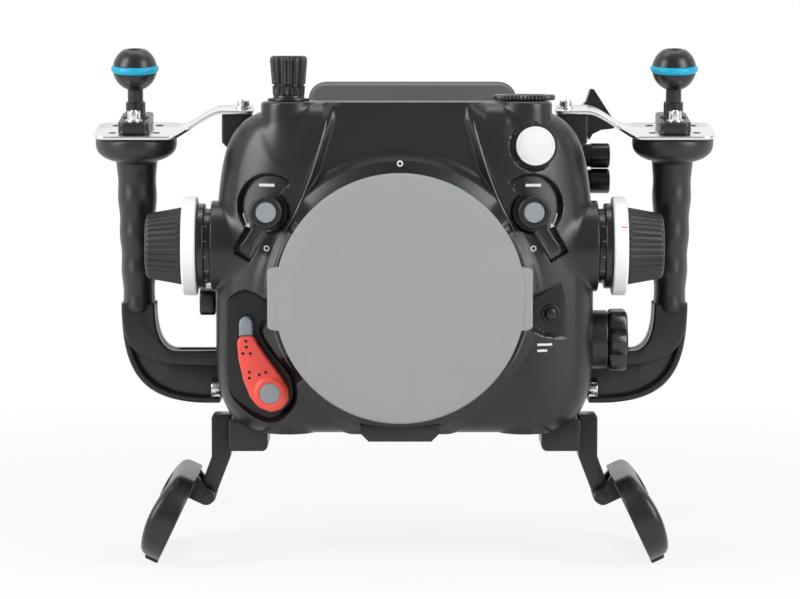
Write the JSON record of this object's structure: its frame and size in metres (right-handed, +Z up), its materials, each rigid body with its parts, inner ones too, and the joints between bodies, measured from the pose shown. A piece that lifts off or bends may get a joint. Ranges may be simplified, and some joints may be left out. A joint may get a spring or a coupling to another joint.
{
  "type": "underwater camera housing",
  "caption": "Black metal case that keeps a camera dry under water, with a port cap, focus knobs, side handles with ball mounts and folding legs.",
  "frame": {"origin": "on the ground, under the middle of the whole, feet down", "axes": "+X to the right seen from the front, +Y to the back, +Z up; the port faces -Y"},
  "size_m": [0.3568, 0.1544, 0.2925],
  "materials": {
    "anodised": "satin black hard anodised",
    "control": "satin black moulded",
    "rubber": "matt black rubber",
    "cap": "matt grey moulded",
    "steel": "brushed stainless",
    "lever_red": "satin red paint",
    "lever_metal": "satin grey-blue",
    "white": "matt white",
    "seal_blue": "blue rubber",
    "window": "clear acrylic",
    "brass": "turned brass",
    "board": "green circuit board"
  },
  "bodies": {
    "housing": {"front_shell": "anodised", "port_ring": "steel", "badge_disc": "white", "valve_body": "anodised", "left_index_disc": "control", "right_index_disc": "control", "camera_tray": "anodised", "leak_sensor_board": "board", "sensor_battery": "steel", "left_handle_frame": "anodised", "left_grip": "rubber", "left_strap": "steel", "left_gusset": "anodised", "left_ball_mount": "anodised", "left_ball_seal": "seal_blue", "left_leg_bracket": "anodised", "right_handle_frame": "anodised", "right_grip": "rubber", "right_strap": "steel", "right_gusset": "anodised", "right_ball_mount": "anodised", "right_ball_seal": "seal_blue", "right_leg_bracket": "anodised"},
    "port_cap": {"port_cap": "cap", "port_cap_seal": "rubber"},
    "left_lock_lever": {"left_lock_lever": "control"},
    "right_lock_lever": {"right_lock_lever": "control"},
    "lens_release": {"lens_release_button": "control"},
    "record_lever": {"record_lever": "lever_red", "record_lever_cap": "lever_metal", "record_lever_tip": "lever_metal"},
    "valve_cap": {"valve_cap": "control"},
    "top_dial": {"top_dial": "control"},
    "left_focus": {"left_focus_knob": "control", "left_marking_ring": "white", "left_knob_shaft": "brass"},
    "left_idler": {"left_idler_gear": "brass"},
    "right_focus": {"right_focus_knob": "control", "right_marking_ring": "white", "right_knob_shaft": "brass"},
    "right_idler": {"right_idler_gear": "brass"},
    "left_latch": {"left_latch": "control"},
    "right_latch": {"right_latch_knob": "control"},
    "back_cover": {"back_cover": "anodised", "main_seal": "rubber", "rear_window": "window", "eyepiece": "anodised", "eyepiece_lens": "window"},
    "menu_button": {"menu_button": "control"},
    "play_button": {"play_button": "control"},
    "info_button": {"info_button": "control"},
    "control_wheel": {"control_wheel": "control"},
    "thumb_lever": {"thumb_lever": "control"},
    "side_button_upper": {"side_button_upper": "control"},
    "side_button_lower": {"side_button_lower": "control"},
    "tray_screw": {"tray_screw": "steel"},
    "left_leg": {"left_leg_loop": "anodised", "left_leg_pad": "rubber"},
    "right_leg": {"right_leg_loop": "anodised", "right_leg_pad": "rubber"}
  },
  "joints": [
    {"name": "port_cap_pull", "type": "slide", "parent": "housing", "child": "port_cap", "axis": [0, -1, 0], "range_m": [0, 0.03]},
    {"name": "left_lock_turn", "type": "hinge", "parent": "housing", "child": "left_lock_lever", "pos_m": [-0.07741, -0.06515, 0.20158], "axis": [0, 1, 0], "range_deg": [0, 150]},
    {"name": "right_lock_turn", "type": "hinge", "parent": "housing", "child": "right_lock_lever", "pos_m": [0.07221, -0.06515, 0.20158], "axis": [0, -1, 0], "range_deg": [0, 150]},
    {"name": "lens_release_push", "type": "slide", "parent": "housing", "child": "lens_release", "axis": [0, 1, 0], "range_m": [0, 0.003], "stiffness_N_per_m": 300},
    {"name": "record_lever_swing", "type": "hinge", "parent": "housing", "child": "record_lever", "pos_m": [-0.07582, -0.05915, 0.09917], "axis": [0, -1, 0], "range_deg": [0, 10], "stiffness_Nm_per_rad": 0.15},
    {"name": "valve_cap_turn", "type": "hinge", "parent": "housing", "child": "valve_cap", "pos_m": [-0.0658, -0.03115, 0.27355], "axis": [0, 0, 1], "range_deg": [0, 180]},
    {"name": "top_dial_turn", "type": "hinge", "parent": "housing", "child": "top_dial", "pos_m": [0.068, -0.03115, 0.26455], "axis": [0, 0, 1], "continuous": true},
    {"name": "left_focus_turn", "type": "hinge", "parent": "housing", "child": "left_focus", "pos_m": [-0.12, -0.02915, 0.18005], "axis": [1, 0, 0], "continuous": true},
    {"name": "left_idler_turn", "type": "hinge", "parent": "housing", "child": "left_idler", "pos_m": [-0.091, -0.02915, 0.15505], "axis": [1, 0, 0], "continuous": true},
    {"name": "right_focus_turn", "type": "hinge", "parent": "housing", "child": "right_focus", "pos_m": [0.12, -0.02915, 0.18005], "axis": [1, 0, 0], "continuous": true},
    {"name": "right_idler_turn", "type": "hinge", "parent": "housing", "child": "right_idler", "pos_m": [0.091, -0.02915, 0.15505], "axis": [1, 0, 0], "continuous": true},
    {"name": "left_latch_turn", "type": "hinge", "parent": "housing", "child": "left_latch", "pos_m": [-0.114, 0.00485, 0.14555], "axis": [-1, 0, 0], "range_deg": [0, 90]},
    {"name": "right_latch_turn", "type": "hinge", "parent": "housing", "child": "right_latch", "pos_m": [0.122, -0.02115, 0.12555], "axis": [1, 0, 0], "range_deg": [0, 90]},
    {"name": "back_cover_pull", "type": "slide", "parent": "housing", "child": "back_cover", "axis": [0, 1, 0], "range_m": [0, 0.04]},
    {"name": "menu_button_push", "type": "slide", "parent": "back_cover", "child": "menu_button", "axis": [0, -1, 0], "range_m": [0, 0.002], "stiffness_N_per_m": 300},
    {"name": "play_button_push", "type": "slide", "parent": "back_cover", "child": "play_button", "axis": [0, -1, 0], "range_m": [0, 0.002], "stiffness_N_per_m": 300},
    {"name": "info_button_push", "type": "slide", "parent": "back_cover", "child": "info_button", "axis": [0, -1, 0], "range_m": [0, 0.002], "stiffness_N_per_m": 300},
    {"name": "control_wheel_turn", "type": "hinge", "parent": "back_cover", "child": "control_wheel", "pos_m": [0.066, 0.05285, 0.11955], "axis": [0, 1, 0], "continuous": true},
    {"name": "thumb_lever_swing", "type": "hinge", "parent": "back_cover", "child": "thumb_lever", "pos_m": [0.104, 0.04085, 0.25255], "axis": [0, 1, 0], "range_deg": [-10, 10], "stiffness_Nm_per_rad": 0.15},
    {"name": "side_button_upper_push", "type": "slide", "parent": "back_cover", "child": "side_button_upper", "axis": [-1, 0, 0], "range_m": [0, 0.002], "stiffness_N_per_m": 300},
    {"name": "side_button_lower_push", "type": "slide", "parent": "back_cover", "child": "side_button_lower", "axis": [-1, 0, 0], "range_m": [0, 0.002], "stiffness_N_per_m": 300},
    {"name": "tray_screw_turn", "type": "hinge", "parent": "housing", "child": "tray_screw", "pos_m": [0, -0.01115, 0.09355], "axis": [0, 0, 1], "continuous": true},
    {"name": "left_leg_fold", "type": "hinge", "parent": "housing", "child": "left_leg", "pos_m": [-0.114, -0.01715, 0.03605], "axis": [0, -1, 0], "range_deg": [0, 115]},
    {"name": "right_leg_fold", "type": "hinge", "parent": "housing", "child": "right_leg", "pos_m": [0.114, -0.01715, 0.03605], "axis": [0, 1, 0], "range_deg": [0, 115]}
  ],
  "couplings": [
    {"joint": "left_idler_turn", "follows": "left_focus_turn", "ratio": -0.66667},
    {"joint": "right_idler_turn", "follows": "right_focus_turn", "ratio": -0.66667}
  ]
}
